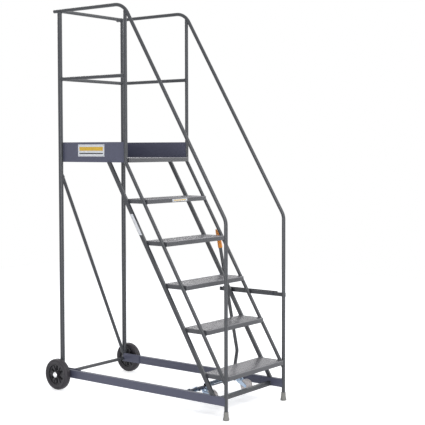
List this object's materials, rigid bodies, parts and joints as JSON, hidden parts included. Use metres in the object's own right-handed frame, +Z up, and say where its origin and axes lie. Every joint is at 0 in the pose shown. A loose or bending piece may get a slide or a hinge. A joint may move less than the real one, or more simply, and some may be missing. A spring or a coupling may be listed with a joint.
{
  "type": "mobile ladder stand",
  "caption": "Wheeled steel ladder stand with steps, guard-railed platform, two rear wheels, front feet and a hand lever that lowers two castors.",
  "frame": {"origin": "on the floor, at the centre of the footprint of the whole part's bounding box", "axes": "+Z up, +Y the way the steps are climbed, +X to the climber's right, the side with the hand lever"},
  "size_m": [0.746, 1.4449, 2.451],
  "materials": {
    "frame_paint": "grey-blue powder coat, satin with a fine orange peel",
    "tread_plate": "light grey coated sheet, satin",
    "ferrule_rubber": "mid grey moulded rubber, matt",
    "black_rubber": "black moulded plug, matt",
    "plate_aluminium": "blank satin plate",
    "tyre": "black rubber, satin",
    "hub_steel": "dark pressed hub, satin",
    "bush_nylon": "off-white nylon",
    "cap_chrome": "bright domed cap",
    "zinc_steel": "bright zinc plate with a blue cast",
    "castor_nylon": "off-white nylon, satin",
    "grip_plastic": "orange sleeve, satin"
  },
  "bodies": {
    "frame": {"rear_post_left": "frame_paint", "rear_post_right": "frame_paint", "handrail_left": "frame_paint", "handrail_right": "frame_paint", "tube_end_caps": "black_rubber", "platform_post_left": "frame_paint", "platform_post_right": "frame_paint", "top_rail_rear": "frame_paint", "mid_rail_left": "frame_paint", "mid_rail_right": "frame_paint", "mid_rail_rear": "frame_paint", "toe_board_left": "frame_paint", "toe_board_right": "frame_paint", "toe_board_rear": "frame_paint", "platform_deck": "tread_plate", "tread_1": "tread_plate", "tread_2": "tread_plate", "tread_3": "tread_plate", "tread_4": "tread_plate", "tread_5": "tread_plate", "front_stringer_left": "frame_paint", "front_stringer_right": "frame_paint", "rear_stringer_left": "frame_paint", "rear_stringer_right": "frame_paint", "base_rail_left": "frame_paint", "base_rail_right": "frame_paint", "front_cross_rail": "frame_paint", "rear_cross_rail": "frame_paint", "rear_brace": "frame_paint", "rubber_feet": "ferrule_rubber", "label_plates": "plate_aluminium", "wheel_axle": "zinc_steel", "wheel_washers": "zinc_steel", "axle_caps": "cap_chrome", "axle_gussets": "frame_paint", "shaft_bearings": "zinc_steel", "frame_bolts": "zinc_steel", "lever_guide_inner": "frame_paint", "lever_guide_outer": "frame_paint", "guide_spacers": "zinc_steel", "lever_stops": "frame_paint"},
    "wheel_left": {"wheel_left_tyre": "tyre", "wheel_left_hub": "hub_steel", "wheel_left_bush": "bush_nylon"},
    "wheel_right": {"wheel_right_tyre": "tyre", "wheel_right_hub": "hub_steel", "wheel_right_bush": "bush_nylon"},
    "lever_carriage": {"carriage_shaft": "zinc_steel", "castor_mounts": "zinc_steel", "carriage_tie_bar": "zinc_steel", "lever_tube": "frame_paint", "lever_grip": "grip_plastic", "castor_top_plates": "zinc_steel", "castor_bolts": "zinc_steel"},
    "castor_left": {"castor_left_fork": "zinc_steel", "castor_left_axle": "zinc_steel"},
    "castor_left_roller": {"castor_left_wheel": "castor_nylon"},
    "castor_right": {"castor_right_fork": "zinc_steel", "castor_right_axle": "zinc_steel"},
    "castor_right_roller": {"castor_right_wheel": "castor_nylon"}
  },
  "joints": [
    {"name": "wheel_left_spin", "type": "hinge", "parent": "frame", "child": "wheel_left", "pos_m": [-0.3415, 0.6225, 0.1], "axis": [1, 0, 0], "continuous": true},
    {"name": "wheel_right_spin", "type": "hinge", "parent": "frame", "child": "wheel_right", "pos_m": [0.3415, 0.6225, 0.1], "axis": [1, 0, 0], "continuous": true},
    {"name": "lever_swing", "type": "hinge", "parent": "frame", "child": "lever_carriage", "pos_m": [0, -0.3585, 0.102], "axis": [1, 0, 0], "range_deg": [0, 25]},
    {"name": "castor_left_swivel", "type": "hinge", "parent": "lever_carriage", "child": "castor_left", "pos_m": [-0.1755, -0.45408, 0.12892], "axis": [0, 0.4226, 0.9063], "continuous": true},
    {"name": "castor_left_spin", "type": "hinge", "parent": "castor_left", "child": "castor_left_roller", "pos_m": [-0.1755, -0.50844, 0.08806], "axis": [1, 0, 0], "continuous": true},
    {"name": "castor_right_swivel", "type": "hinge", "parent": "lever_carriage", "child": "castor_right", "pos_m": [0.1755, -0.45408, 0.12892], "axis": [0, 0.4226, 0.9063], "continuous": true},
    {"name": "castor_right_spin", "type": "hinge", "parent": "castor_right", "child": "castor_right_roller", "pos_m": [0.1755, -0.50844, 0.08806], "axis": [1, 0, 0], "continuous": true}
  ]
}
